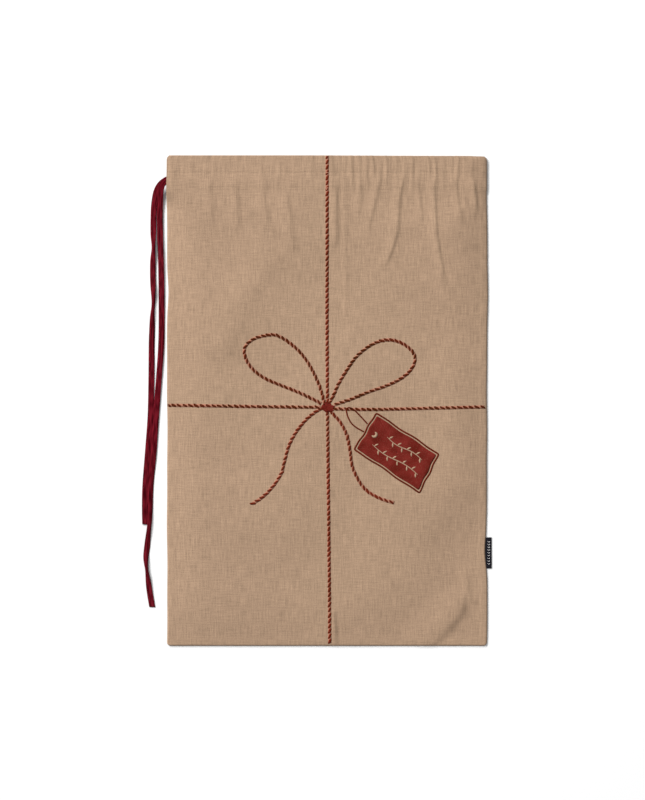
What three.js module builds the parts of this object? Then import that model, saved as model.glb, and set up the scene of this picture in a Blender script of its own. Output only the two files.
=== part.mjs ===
// A drawstring gift sack of plain cloth, lying flat on its back with the mouth towards +Y.
// Units are millimetres. The origin is the middle of the face that it rests on, +Z is up
// through its thickness, and +X is the side that carries the small woven label.

import * as THREE from 'three';

// ---- driving dimensions ----
const SACK_WIDTH = 500;
const SACK_LENGTH = 765;
const CLOTH = 0.8;
const CORNER_RADIUS = 10;
const EDGE_ROLL = 30; // how far in from a seam the front panel takes to rise to full height
const LAYER_GAP = 0.4; // air between two layers that lie on each other
const MOUTH_GAP = 6.6; // between the two casings, where a gift goes in

const CASING_DEPTH = 52;
const HEADING_ROW = 26; // stitch rows, measured down from the mouth edge
const CHANNEL_ROW = 50;
const CASING_RIGHT_END = 212;
const CASING_INSET = 1; // each casing strip stops this far short of the cloth edges

const RIBBON_WIDTH = 9.5;
const RIBBON_THICKNESS = 0.8;
const RIBBON_DEPTH = 39.9; // the ribbon's middle, measured down from the mouth edge
const RIBBON_TURN_X = 216; // where the ribbon turns back from the front channel to the rear one
const FACE_GAP = 0.3;
const TAIL_STEPS = 72;

const SEAM_ALLOWANCE = 7;
const SEAM_INSET = 4;
const SEAM_LIFT = 0.5;
const OVERLOCK_RADIUS = 0.6;
const THREAD_RADIUS = 0.2;
const THREAD_SIDES = 6;

const VENT_TOP = 330; // the left seam ends here, and the ribbon leaves above it
const VENT_BOTTOM = 300;

const LABEL_LENGTH = 48.4;
const LABEL_CENTRE_Y = -237.1;
const LABEL_REACH = 6.1;
const LABEL_LEAF = 0.32;
const LABEL_SLIT = 0.26;
const LABEL_START_X = SACK_WIDTH / 2 + 0.9;
const LABEL_MIDDLE_Z = 0.95;

// ---- heights of the layers, from the resting face up ----
const HALF_WIDTH = SACK_WIDTH / 2;
const HALF_LENGTH = SACK_LENGTH / 2;
const REAR_RIBBON_Z = CLOTH + LAYER_GAP;
const REAR_CASING_Z = REAR_RIBBON_Z + RIBBON_THICKNESS + LAYER_GAP;
const FRONT_CASING_Z = REAR_CASING_Z + CLOTH + MOUTH_GAP;
const FRONT_RIBBON_Z = FRONT_CASING_Z + CLOTH + LAYER_GAP;
const FRONT_PANEL_Z = FRONT_RIBBON_Z + RIBBON_THICKNESS + LAYER_GAP;
const EDGE_Z = CLOTH + 0.3;

// ---- the two free tails, from the vent to the cut end, along the ribbon's middle ----
const RIBBON_Y = HALF_LENGTH - RIBBON_DEPTH;
const TAIL_START_X = -HALF_WIDTH - FACE_GAP;
const REAR_RIBBON_MIDDLE = REAR_RIBBON_Z + RIBBON_THICKNESS / 2;
const FRONT_RIBBON_MIDDLE = FRONT_RIBBON_Z + RIBBON_THICKNESS / 2;

const SHORT_TAIL_ROUTE = [
  [TAIL_START_X, RIBBON_Y, REAR_RIBBON_MIDDLE],
  [-255, 341.8, 1.4],
  [-260.5, 337, 1.0],
  [-265.5, 329, 0.7],
  [-269, 316.8, 0.6],
  [-271.2, 298, 0.6],
  [-272, 260.5, 0.6],
  [-272.5, 204, 0.6],
  [-272, 148, 0.6],
  [-274.2, 92, 0.6],
  [-274.8, 35.5, 0.6],
  [-276, -21, 0.6],
  [-280, -77, 0.6],
  [-284.2, -133, 0.6],
  [-284.8, -170, 0.6],
  [-284.4, -192.6, 0.6],
];

const LONG_TAIL_ROUTE = [
  [TAIL_START_X, RIBBON_Y, FRONT_RIBBON_MIDDLE],
  [-253.8, 341.6, 10.4],
  [-257, 337.4, 7.4],
  [-259, 330.5, 4.4],
  [-260.4, 319, 2.4],
  [-261, 304, 1.9],
  [-261.2, 284, 1.5],
  [-261.2, 258, 0.6],
  [-259.4, 204, 0.6],
  [-258.6, 148, 0.6],
  [-259.2, 92, 0.7],
  [-263, 35.5, 1.3],
  [-267.2, -21, 1.9],
  [-270.9, -77, 1.9],
  [-275.6, -133, 1.9],
  [-276.6, -186, 1.9],
  [-280.6, -222, 1.2],
  [-283.6, -246, 0.6],
  [-282.8, -264.5, 0.6],
  [-279.7, -283, 0.6],
  [-276.9, -302, 0.6],
  [-273.4, -322, 0.6],
];

// ---- materials ----
const LINEN_COLOUR = 0xb4977c;
const VELVET_COLOUR = 0x6e0e1e;
const THREAD_COLOUR = 0xc2a88c;
const LABEL_COLOUR = 0x1c1f2c;

function material(colour, roughness) {
  return new THREE.MeshStandardMaterial({ color: colour, roughness, metalness: 0 });
}

const linen = () => material(LINEN_COLOUR, 0.95);
const velvet = () => material(VELVET_COLOUR, 0.8);
const thread = () => material(THREAD_COLOUR, 0.85);
const wovenLabel = () => material(LABEL_COLOUR, 0.9);

function piece(name, geometry, surface) {
  const mesh = new THREE.Mesh(geometry, surface);
  mesh.name = name;
  return mesh;
}

// ---- the two panels ----
function smooth(value) {
  const t = THREE.MathUtils.clamp(value, 0, 1);
  return t * t * (3 - 2 * t);
}

function rise(distanceFromSeam) {
  return Math.sin((Math.PI / 2) * Math.min(1, Math.max(0, distanceFromSeam) / EDGE_ROLL));
}

// The front panel lies down onto the rear one at its three seams, and stands clear of it at
// the mouth and beside the vent, where the two are not sewn together.
function frontUnderside(x, y) {
  const ventOpen = smooth((y - VENT_BOTTOM) / (VENT_TOP - VENT_BOTTOM));
  const sewnLeft = rise(HALF_WIDTH + x);
  const left = sewnLeft + (1 - sewnLeft) * ventOpen;
  const right = rise(HALF_WIDTH - x);
  const bottom = rise(HALF_LENGTH + y);
  return EDGE_Z + (FRONT_PANEL_Z - EDGE_Z) * left * right * bottom;
}

// Half the panel's width at a height y, which narrows round each bottom and top corner.
function halfWidthAt(y) {
  const intoCorner = Math.max(0, Math.abs(y) - (HALF_LENGTH - CORNER_RADIUS));
  const arc = Math.sqrt(CORNER_RADIUS ** 2 - Math.min(intoCorner, CORNER_RADIUS) ** 2);
  return HALF_WIDTH - CORNER_RADIUS + arc;
}

function gridLines(half, nearEdge, inner) {
  const low = nearEdge.map((distance) => -half + distance);
  const high = nearEdge.map((distance) => half - distance).reverse();
  return [...low, ...inner, ...high];
}

function evenly(from, to, count) {
  return Array.from({ length: count }, (_, i) => from + ((to - from) * (i + 1)) / (count + 1));
}

function frontPanel() {
  const rollLines = [0, 3, 7, 12, 18, 24, EDGE_ROLL];
  const middle = HALF_WIDTH - EDGE_ROLL;
  const columns = gridLines(HALF_WIDTH, rollLines, evenly(-middle, middle, 7));
  const cornerLines = [0, 1.5, 4, 8, 13, 19, 25, EDGE_ROLL];
  const rows = [
    ...cornerLines.map((distance) => -HALF_LENGTH + distance),
    ...evenly(-HALF_LENGTH + EDGE_ROLL, VENT_BOTTOM, 12),
    VENT_BOTTOM,
    ...evenly(VENT_BOTTOM, VENT_TOP, 4),
    VENT_TOP,
    RIBBON_Y + 10,
    HALF_LENGTH - CORNER_RADIUS,
    HALF_LENGTH - 4,
    HALF_LENGTH - 1.5,
    HALF_LENGTH,
  ];
  const geometry = new THREE.BoxGeometry(1, 1, 1, columns.length - 1, rows.length - 1, 1);
  const points = geometry.attributes.position;
  for (let i = 0; i < points.count; i += 1) {
    const column = Math.round((points.getX(i) + 0.5) * (columns.length - 1));
    const row = Math.round((points.getY(i) + 0.5) * (rows.length - 1));
    const y = rows[row];
    const x = columns[column];
    const corner = halfWidthAt(y) / HALF_WIDTH;
    const upper = points.getZ(i) > 0 ? CLOTH : 0;
    points.setXYZ(i, x * corner, y, frontUnderside(x, y) + upper);
  }
  return piece('front_panel', geometry, linen());
}

function roundedOutline(halfWidth, halfLength, radius) {
  const outline = new THREE.Shape();
  outline.moveTo(-halfWidth + radius, -halfLength);
  outline.lineTo(halfWidth - radius, -halfLength);
  outline.absarc(halfWidth - radius, -halfLength + radius, radius, -Math.PI / 2, 0);
  outline.absarc(halfWidth - radius, halfLength - radius, radius, 0, Math.PI / 2);
  outline.absarc(-halfWidth + radius, halfLength - radius, radius, Math.PI / 2, Math.PI);
  outline.absarc(-halfWidth + radius, -halfLength + radius, radius, Math.PI, Math.PI * 1.5);
  return outline;
}

function backPanel() {
  const outline = roundedOutline(HALF_WIDTH, HALF_LENGTH, CORNER_RADIUS);
  const geometry = new THREE.ExtrudeGeometry(outline, {
    depth: CLOTH,
    bevelEnabled: false,
    curveSegments: 6,
  });
  return piece('back_panel', geometry, linen());
}

// ---- casings: the cloth folded in at the mouth, which makes the ribbon's channel ----
function casing(name, lowZ) {
  const left = -HALF_WIDTH + CASING_INSET;
  const length = CASING_RIGHT_END - left;
  const geometry = new THREE.BoxGeometry(length, CASING_DEPTH, CLOTH, 8, 1, 1);
  const mesh = piece(name, geometry, linen());
  mesh.position.set(
    left + length / 2,
    HALF_LENGTH - CASING_INSET - CASING_DEPTH / 2,
    lowZ + CLOTH / 2,
  );
  return mesh;
}

// ---- threads ----
function threadLine(name, radius, sides, from, to, z) {
  const start = new THREE.Vector3(...from, z);
  const end = new THREE.Vector3(...to, z);
  const along = new THREE.Vector3().subVectors(end, start);
  const geometry = new THREE.CylinderGeometry(radius, radius, along.length(), sides, 6);
  const mesh = piece(name, geometry, thread());
  mesh.position.addVectors(start, end).multiplyScalar(0.5);
  mesh.quaternion.setFromUnitVectors(new THREE.Vector3(0, 1, 0), along.normalize());
  return mesh;
}

function stitchRow(name, depth, z) {
  const y = HALF_LENGTH - depth;
  const left = -HALF_WIDTH + 4;
  return threadLine(name, THREAD_RADIUS, THREAD_SIDES, [left, y], [CASING_RIGHT_END, y], z);
}

function stitchRows() {
  const frontZ = FRONT_PANEL_Z + CLOTH + 2 * THREAD_RADIUS;
  const rearZ = REAR_CASING_Z + CLOTH + 2 * THREAD_RADIUS;
  return [
    stitchRow('front_heading_stitch', HEADING_ROW, frontZ),
    stitchRow('front_channel_stitch', CHANNEL_ROW, frontZ),
    stitchRow('back_heading_stitch', HEADING_ROW, rearZ),
    stitchRow('back_channel_stitch', CHANNEL_ROW, rearZ),
  ];
}

// ---- seams: the allowance turned inside, its overlocked edge and its row of stitches ----
// The seam runs from one end to the other, and inward points from it into the sack.
function seam(name, from, to, inward) {
  const start = new THREE.Vector2(...from);
  const end = new THREE.Vector2(...to);
  const into = new THREE.Vector2(...inward);
  const centre = new THREE.Vector2().addVectors(start, end).multiplyScalar(0.5);
  centre.addScaledVector(into, SEAM_INSET + SEAM_ALLOWANCE / 2);
  const run = start.distanceTo(end);
  const alongX = Math.abs(into.y) > 0;
  const size = alongX ? [run, SEAM_ALLOWANCE] : [SEAM_ALLOWANCE, run];
  const lowZ = CLOTH + SEAM_LIFT;
  const strip = piece(`${name}_seam_allowance`, new THREE.BoxGeometry(...size, CLOTH), linen());
  strip.position.set(centre.x, centre.y, lowZ + CLOTH / 2);

  const moved = (distance) => [start, end].map((p) => p.clone().addScaledVector(into, distance));
  const edgeDistance = SEAM_INSET + SEAM_ALLOWANCE + OVERLOCK_RADIUS + FACE_GAP;
  const [edgeStart, edgeEnd] = moved(edgeDistance);
  const overlock = threadLine(
    `${name}_seam_overlock`,
    OVERLOCK_RADIUS,
    8,
    [edgeStart.x, edgeStart.y],
    [edgeEnd.x, edgeEnd.y],
    lowZ + CLOTH / 2,
  );
  const [rowStart, rowEnd] = moved(SEAM_INSET + 2);
  const row = threadLine(
    `${name}_seam_thread`,
    THREAD_RADIUS,
    THREAD_SIDES,
    [rowStart.x, rowStart.y],
    [rowEnd.x, rowEnd.y],
    lowZ + CLOTH + 2 * THREAD_RADIUS,
  );
  return [strip, overlock, row];
}

function seams() {
  const sideLow = -HALF_LENGTH + 14;
  const bottomHalf = HALF_WIDTH - 18;
  return [
    ...seam('left', [-HALF_WIDTH, sideLow], [-HALF_WIDTH, VENT_BOTTOM + 14], [1, 0]),
    ...seam('right', [HALF_WIDTH, sideLow], [HALF_WIDTH, HALF_LENGTH - 60], [-1, 0]),
    ...seam('bottom', [-bottomHalf, -HALF_LENGTH], [bottomHalf, -HALF_LENGTH], [0, 1]),
  ];
}

// The bar tack that locks the left seam where the vent begins.
function ventBarTack() {
  const mesh = piece('vent_bar_tack', new THREE.BoxGeometry(0.7, 8, 1.8, 1, 4, 1), thread());
  mesh.position.set(-HALF_WIDTH - 0.7, VENT_BOTTOM + 8, 1.3);
  return mesh;
}

// ---- drawstring ----
function flatRibbonSection() {
  const half = RIBBON_WIDTH / 2;
  const edge = RIBBON_THICKNESS / 2;
  const chamfer = edge * 0.6;
  const section = new THREE.Shape();
  section.moveTo(-half, -edge + chamfer);
  section.lineTo(-half + chamfer, -edge);
  section.lineTo(half - chamfer, -edge);
  section.lineTo(half, -edge + chamfer);
  section.lineTo(half, edge - chamfer);
  section.lineTo(half - chamfer, edge);
  section.lineTo(-half + chamfer, edge);
  section.lineTo(-half, edge - chamfer);
  return section;
}

// The ribbon inside the casings: in along the front channel, round, and back along the rear.
function casingRun() {
  const left = -HALF_WIDTH;
  const low = REAR_RIBBON_Z;
  const high = FRONT_RIBBON_Z + RIBBON_THICKNESS;
  const middle = (low + high) / 2;
  const outer = (high - low) / 2;
  const inner = outer - RIBBON_THICKNESS;
  const section = new THREE.Shape();
  section.moveTo(left, low);
  section.lineTo(RIBBON_TURN_X, low);
  section.absarc(RIBBON_TURN_X, middle, outer, -Math.PI / 2, Math.PI / 2);
  section.lineTo(left, high);
  section.lineTo(left, high - RIBBON_THICKNESS);
  section.lineTo(RIBBON_TURN_X, high - RIBBON_THICKNESS);
  section.absarc(RIBBON_TURN_X, middle, inner, Math.PI / 2, -Math.PI / 2, true);
  section.lineTo(left, low + RIBBON_THICKNESS);
  const geometry = new THREE.ExtrudeGeometry(section, {
    depth: RIBBON_WIDTH,
    bevelEnabled: false,
    curveSegments: 10,
  });
  const mesh = piece('drawstring_casing_run', geometry, velvet());
  mesh.rotation.x = Math.PI / 2;
  mesh.position.y = RIBBON_Y + RIBBON_WIDTH / 2;
  return mesh;
}

// A straight ribbon is extruded in steps, and each step is then laid on the route, with the
// ribbon's width level with the floor.
function tail(name, route) {
  const curve = new THREE.CatmullRomCurve3(route.map((p) => new THREE.Vector3(...p)));
  const geometry = new THREE.ExtrudeGeometry(flatRibbonSection(), {
    depth: 1,
    steps: TAIL_STEPS,
    bevelEnabled: false,
  });
  const up = new THREE.Vector3(0, 0, 1);
  const points = geometry.attributes.position;
  for (let i = 0; i < points.count; i += 1) {
    const along = Math.round(points.getZ(i) * TAIL_STEPS) / TAIL_STEPS;
    const tangent = along === 0 ? new THREE.Vector3(-1, 0, 0) : curve.getTangentAt(along);
    const across = new THREE.Vector3().crossVectors(up, tangent).normalize();
    const normal = new THREE.Vector3().crossVectors(tangent, across).normalize();
    const place = curve.getPointAt(along);
    place.addScaledVector(across, points.getX(i)).addScaledVector(normal, points.getY(i));
    points.setXYZ(i, place.x, place.y, place.z);
  }
  return piece(name, geometry, velvet());
}

// ---- the folded label that stands out of the right seam ----
function sideLabel() {
  const thickness = 2 * LABEL_LEAF + LABEL_SLIT;
  const low = LABEL_MIDDLE_Z - thickness / 2;
  const fold = thickness / 2;
  const end = LABEL_START_X + LABEL_REACH - fold;
  const section = new THREE.Shape();
  section.moveTo(LABEL_START_X, low);
  section.lineTo(end, low);
  section.absarc(end, LABEL_MIDDLE_Z, fold, -Math.PI / 2, Math.PI / 2);
  section.lineTo(LABEL_START_X, low + thickness);
  section.lineTo(LABEL_START_X, low + thickness - LABEL_LEAF);
  section.lineTo(end, low + thickness - LABEL_LEAF);
  section.absarc(end, LABEL_MIDDLE_Z, LABEL_SLIT / 2, Math.PI / 2, -Math.PI / 2, true);
  section.lineTo(LABEL_START_X, low + LABEL_LEAF);
  const geometry = new THREE.ExtrudeGeometry(section, {
    depth: LABEL_LENGTH,
    bevelEnabled: false,
    curveSegments: 6,
  });
  const mesh = piece('side_label', geometry, wovenLabel());
  mesh.rotation.x = Math.PI / 2;
  mesh.position.y = LABEL_CENTRE_Y + LABEL_LENGTH / 2;
  return mesh;
}

// ---- the whole sack ----
const sack = new THREE.Group();
sack.add(backPanel());
sack.add(frontPanel());
sack.add(casing('back_casing', REAR_CASING_Z));
sack.add(casing('front_casing', FRONT_CASING_Z));
sack.add(...stitchRows());
sack.add(...seams());
sack.add(ventBarTack());
sack.add(casingRun());
sack.add(tail('drawstring_short_tail', SHORT_TAIL_ROUTE));
sack.add(tail('drawstring_long_tail', LONG_TAIL_ROUTE));
sack.add(sideLabel());

export default sack;
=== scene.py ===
import math

import bpy
import numpy as np
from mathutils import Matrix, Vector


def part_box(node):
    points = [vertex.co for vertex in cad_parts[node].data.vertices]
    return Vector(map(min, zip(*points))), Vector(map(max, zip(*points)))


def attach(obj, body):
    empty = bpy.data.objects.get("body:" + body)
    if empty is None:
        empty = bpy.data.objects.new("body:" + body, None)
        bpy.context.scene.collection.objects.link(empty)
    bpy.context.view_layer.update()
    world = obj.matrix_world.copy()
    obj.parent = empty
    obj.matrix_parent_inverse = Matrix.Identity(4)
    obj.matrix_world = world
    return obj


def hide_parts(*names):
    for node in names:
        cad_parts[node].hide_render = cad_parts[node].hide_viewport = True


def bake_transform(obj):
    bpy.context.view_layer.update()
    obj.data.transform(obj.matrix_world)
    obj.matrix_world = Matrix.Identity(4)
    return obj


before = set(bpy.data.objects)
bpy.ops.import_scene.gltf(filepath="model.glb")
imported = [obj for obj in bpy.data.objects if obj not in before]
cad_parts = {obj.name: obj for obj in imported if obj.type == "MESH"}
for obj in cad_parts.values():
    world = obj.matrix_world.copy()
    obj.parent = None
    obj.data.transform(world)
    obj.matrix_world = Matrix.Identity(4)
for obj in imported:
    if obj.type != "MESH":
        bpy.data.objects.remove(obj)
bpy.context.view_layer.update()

# Lengths of the sack are in millimetres. The camera, the lamps and the materials use metres.
MM = 0.001


def box_mm(node):
    """The lowest and the highest corner of a CAD node, in millimetres."""
    return [np.array(corner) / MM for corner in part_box(node)]


HALF_WIDTH, HALF_LENGTH, _ = box_mm("back_panel")[1]
RUN_LOW, RUN_HIGH = box_mm("drawstring_casing_run")

CLOTH = 0.55
SEAM_Z = 1.45  # the front cloth's outer face where it meets the rear cloth at a seam
PLATEAU_Z = box_mm("front_panel")[1][2] - 0.1
CASING_DEPTH = 53
CASING_BOTTOM = HALF_LENGTH - CASING_DEPTH
RIBBON_Y = (RUN_LOW[1] + RUN_HIGH[1]) / 2
HEADING_Y = HALF_LENGTH - 26
CHANNEL_Y = HALF_LENGTH - 50

RIBBON_WIDTH = 9.5
RIBBON_THICKNESS = 0.7

# ---- camera
VIEW_HEIGHT = 2.5
SEEN_LENGTH = 1.25
SENSOR = 36
CAMERA_PLACE = (-0.0070, 0.0020, VIEW_HEIGHT + 4.5 * MM)


def add_camera():
    """Straight above the sack. It sees SEEN_LENGTH from the picture's top to its bottom."""
    data = bpy.data.cameras.new("camera")
    data.sensor_width = SENSOR
    data.lens = SENSOR * VIEW_HEIGHT / SEEN_LENGTH
    camera = bpy.data.objects.new("camera", data)
    camera.location = CAMERA_PLACE
    bpy.context.scene.collection.objects.link(camera)
    bpy.context.scene.camera = camera


add_camera()


# ---- small helpers
def smooth(value):
    """From 0 to 1 without a corner, while the value goes from 0 to 1."""
    t = np.clip(value, 0, 1)
    return t * t * (3 - 2 * t)


def bell(distance, width):
    """1 in the middle, and almost 0 beyond twice the width."""
    return np.exp(-((distance / width) ** 2))


def walked_along(line):
    """How far along a line of points each of them is."""
    return np.concatenate([[0], np.cumsum(np.linalg.norm(np.diff(line, axis=0), axis=1))])


def directions_along(line):
    """The unit direction in which a line of points runs, at each of them."""
    step = np.gradient(line, axis=0)
    return step / np.maximum(np.linalg.norm(step, axis=1, keepdims=True), 1e-9)


def catmull_rom(points, spacing):
    """Points every so many millimetres along a smooth curve through the given ones."""
    p = np.array(points, float)
    ends = np.vstack([2 * p[0] - p[1], p, 2 * p[-1] - p[-2]])
    fine = []
    for a, b, c, d in zip(ends, ends[1:], ends[2:], ends[3:]):
        steps = max(4, int(np.linalg.norm(c - b) / spacing * 3))
        t = np.linspace(0, 1, steps, endpoint=False)[:, None]
        square = 2 * a - 5 * b + 4 * c - d
        cube = 3 * b - a - 3 * c + d
        fine.append(0.5 * (2 * b + (c - a) * t + square * t**2 + cube * t**3))
    fine = np.vstack(fine + [p[-1:]])
    walked = walked_along(fine)
    count = max(2, int(round(walked[-1] / spacing)) + 1)
    even = np.linspace(0, walked[-1], count)
    return np.column_stack([np.interp(even, walked, fine[:, k]) for k in range(p.shape[1])])


def new_mesh(name, points, faces, flat_map=None):
    """A mesh object from points in millimetres. flat_map gives each point's place on the flat
    cloth, in millimetres, which the cloth's materials use so that the weave moves with it."""
    mesh = bpy.data.meshes.new(name)
    mesh.from_pydata((np.asarray(points) * MM).tolist(), [], faces)
    mesh.validate()
    mesh.update()
    mesh.shade_smooth()
    if flat_map is not None:
        layer = mesh.uv_layers.new(name="flat")
        index = np.zeros(len(mesh.loops), int)
        mesh.loops.foreach_get("vertex_index", index)
        layer.data.foreach_set("uv", (np.asarray(flat_map)[index] * MM).ravel())
    thing = bpy.data.objects.new(name, mesh)
    bpy.context.scene.collection.objects.link(thing)
    return thing


def tube_faces(rings, size, base=0, inside_out=False):
    """Faces of a closed tube: rings of so many points each, with a flat face at each end."""
    faces = []
    for low in range(base, base + (rings - 1) * size, size):
        for a in range(size):
            b = (a + 1) % size
            faces.append([low + a, low + b, low + size + b, low + size + a])
    faces.append([base + a for a in reversed(range(size))])
    faces.append([base + (rings - 1) * size + a for a in range(size)])
    return [face[::-1] for face in faces] if inside_out else faces


def grid_faces(rows, columns, offset, flip):
    """Faces between the points of a grid, whose first point has the number offset."""
    i, j = np.meshgrid(np.arange(rows - 1), np.arange(columns - 1), indexing="ij")
    a = (i * columns + j + offset).ravel()
    quads = np.column_stack([a, a + 1, a + columns + 1, a + columns])
    return quads[:, ::-1] if flip else quads


def sheet_faces(rows, columns, base=0, inside_out=False):
    """Faces of a thin closed sheet made of two grids of points, one after the other, and the
    rim that joins them."""
    count = rows * columns
    border = np.concatenate(
        [
            np.arange(columns),
            np.arange(1, rows) * columns + columns - 1,
            (rows - 1) * columns + np.arange(columns - 2, -1, -1),
            np.arange(rows - 2, 0, -1) * columns,
        ]
    )
    following = np.roll(border, -1)
    rim = np.column_stack([following, border, border + count, following + count]) + base
    if inside_out:
        rim = rim[:, ::-1]
    top = grid_faces(rows, columns, base, inside_out)
    under = grid_faces(rows, columns, base + count, not inside_out)
    return np.concatenate([top, under, rim]).tolist()


def thick_sheet(name, outer, flat, thickness, inside_out=False):
    """A closed sheet of cloth from its outer face, a grid of points whose outward side is
    given by the order of its rows and columns."""
    normal = np.cross(np.gradient(outer, axis=1), np.gradient(outer, axis=0))
    normal /= np.maximum(np.linalg.norm(normal, axis=2, keepdims=True), 1e-9)
    if inside_out:
        normal = -normal
    inner = outer - normal * thickness
    points = np.concatenate([outer.reshape(-1, 3), inner.reshape(-1, 3)])
    faces = sheet_faces(*outer.shape[:2], inside_out=inside_out)
    return new_mesh(name, points, faces, np.concatenate([flat, flat]).reshape(-1, 2))


# ---- materials
class Surface:
    """A material with one shader, and the nodes that vary it from place to place. Places are
    on the flat cloth, or for threads and the label within the object, both in metres."""

    def __init__(self, name, places=None):
        self.material = bpy.data.materials.new(name)
        self.material.use_nodes = True
        self.tree = self.material.node_tree
        self.tree.nodes.clear()
        output = self.add("ShaderNodeOutputMaterial")
        self.shader = self.add("ShaderNodeBsdfPrincipled")
        self.feed(output.inputs[0], self.shader.outputs[0])
        if places == "flat":
            flat = self.add("ShaderNodeUVMap")
            flat.uv_map = "flat"
            self.place = flat.outputs[0]
        elif places == "object":
            self.place = self.add("ShaderNodeTexCoord").outputs["Object"]

    def add(self, kind):
        return self.tree.nodes.new(kind)

    def feed(self, socket, value):
        """Give a socket a number, a colour, or what another node puts out."""
        if isinstance(value, (int, float)):
            socket.default_value = value
        elif isinstance(value, tuple):
            socket.default_value = (*value, 1)[: len(socket.default_value)]
        else:
            self.tree.links.new(value, socket)

    def math(self, operation, *values, clamp=False):
        node = self.add("ShaderNodeMath")
        node.operation = operation
        node.use_clamp = clamp
        for socket, value in zip(node.inputs, values):
            self.feed(socket, value)
        return node.outputs[0]

    def scaled(self, value, factor, shift, clamp=False):
        return self.math("MULTIPLY_ADD", value, factor, shift, clamp=clamp)

    def mixed(self, factor, first, second):
        node = self.add("ShaderNodeMix")
        node.data_type = "RGBA"
        for index, value in ((0, factor), (6, first), (7, second)):
            self.feed(node.inputs[index], value)
        return node.outputs[2]

    def brightened(self, colour, factor):
        """The colour times a number that varies over the surface."""
        node = self.add("ShaderNodeVectorMath")
        node.operation = "SCALE"
        self.feed(node.inputs[0], colour)
        self.feed(node.inputs[3], factor)
        return node.outputs[0]

    def noise(self, sizes, detail=2.0, offset=0.0):
        """Noise in 0..1 whose features are about sizes metres long along each axis."""
        mapping = self.add("ShaderNodeMapping")
        mapping.inputs["Location"].default_value = (offset, offset * 1.7, 0)
        mapping.inputs["Scale"].default_value = [1 / size for size in sizes]
        self.feed(mapping.inputs[0], self.place)
        node = self.add("ShaderNodeTexNoise")
        node.inputs["Scale"].default_value = 1
        node.inputs["Detail"].default_value = detail
        self.feed(node.inputs[0], mapping.outputs[0])
        return node.outputs[0]

    def split_place(self):
        split = self.add("ShaderNodeSeparateXYZ")
        self.feed(split.inputs[0], self.place)
        return split.outputs

    def set_relief(self, height, distance, strength):
        bump = self.add("ShaderNodeBump")
        bump.inputs["Distance"].default_value = distance
        bump.inputs["Strength"].default_value = strength
        self.feed(bump.inputs["Height"], height)
        self.feed(self.shader.inputs["Normal"], bump.outputs[0])

    def set_look(self, colour, roughness, specular, sheen=0.0, sheen_roughness=0.5):
        self.feed(self.shader.inputs["Base Color"], colour)
        self.shader.inputs["Roughness"].default_value = roughness
        self.shader.inputs["Specular IOR Level"].default_value = specular
        self.shader.inputs["Sheen Weight"].default_value = sheen
        self.shader.inputs["Sheen Roughness"].default_value = sheen_roughness


WEAVE_PITCH = 0.0012  # between one thread and the next
LINEN = (0.322, 0.216, 0.143)
# painted shade: the darker colour of the gaps between threads
LINEN_GAP_SHADE = (0.178, 0.113, 0.070)


class Cloth(Surface):
    """Plain-woven cloth. Each thread rises where it passes over the crossing one, in a chequer.
    height is the weave's, in 0..1, and slub is the threads' unevenness, about 0.5."""

    def __init__(self, name):
        super().__init__(name, "flat")
        x, y, _ = self.split_place()
        wander = self.noise((0.012, 0.012, 1), detail=1.0, offset=3.1)
        shift = self.scaled(wander, WEAVE_PITCH, -WEAVE_PITCH / 2)
        turns = math.pi / WEAVE_PITCH
        sine_x = self.math("SINE", self.math("MULTIPLY", self.math("ADD", x, shift), turns))
        sine_y = self.math("SINE", self.math("MULTIPLY", self.math("ADD", y, shift), turns))
        over = self.scaled(self.math("MULTIPLY", sine_x, sine_y), 0.5, 0.5)
        under = self.math("SUBTRACT", 1.0, over)
        warp = self.math("MULTIPLY", self.math("ABSOLUTE", sine_x), over)
        weft = self.math("MULTIPLY", self.math("ABSOLUTE", sine_y), under)
        self.height = self.math("ADD", warp, weft)
        across = self.noise((0.020, 0.0017, 1), 2.0, 0.0)
        upright = self.noise((0.0017, 0.024, 1), 2.0, 5.0)
        self.slub = self.scaled(upright, 0.58, self.math("MULTIPLY", across, 0.42))

    def colour(self):
        """Painted shade darkens the gaps between threads, slubs are lighter, and it drifts gently.
        """
        # painted shade: the colour turns darker where the weave is low, between the threads
        gap = self.scaled(self.height, -1.5, 0.95, clamp=True)
        thread = self.mixed(gap, LINEN, LINEN_GAP_SHADE)
        fleck = self.noise((0.0015, 0.0015, 1), 2.0, 7.7)
        streak = self.scaled(self.slub, 1.15, 0.425)
        speck = self.scaled(fleck, 0.55, 0.725)
        drift = self.noise((0.07, 0.07, 1), 1.0, 9.0)
        even = self.scaled(drift, 0.05, 0.975)
        level = self.math("MULTIPLY", self.math("MULTIPLY", streak, speck), even)
        return self.brightened(thread, level)

    def set_weave_relief(self, distance, strength):
        height = self.math("ADD", self.math("MULTIPLY", self.height, 0.5), self.slub)
        self.set_relief(height, distance, strength)


def linen_material():
    cloth = Cloth("linen")
    cloth.set_look(cloth.colour(), roughness=0.92, specular=0.08, sheen=0.04)
    cloth.set_weave_relief(0.00022, 0.8)
    return cloth.material


def ink_material(name, dark, red, patch):
    """Printed ink soaks into the cloth, so the weave's relief and a little of its colour show.
    Its tone varies between dark and red, in patches of so many metres."""
    cloth = Cloth(name)
    tone = cloth.noise((patch, patch, 1), 2.0, 1.3)
    ink = cloth.mixed(cloth.scaled(tone, 3.0, -1.0, clamp=True), dark, red)
    worn = cloth.noise((0.0016, 0.0016, 1), 3.0, 4.4)
    bare = cloth.scaled(worn, 0.7, -0.37, clamp=True)
    cloth.set_look(cloth.mixed(bare, ink, cloth.colour()), roughness=0.9, specular=0.01)
    cloth.set_weave_relief(0.00018, 0.7)
    return cloth.material


# The lighter red is partly the pile's own colour and partly painted highlight.
VELVET_DARK = (0.034, 0.0008, 0.0022)
VELVET_PILE_AND_HIGHLIGHT = (0.138, 0.0074, 0.0140)


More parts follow.
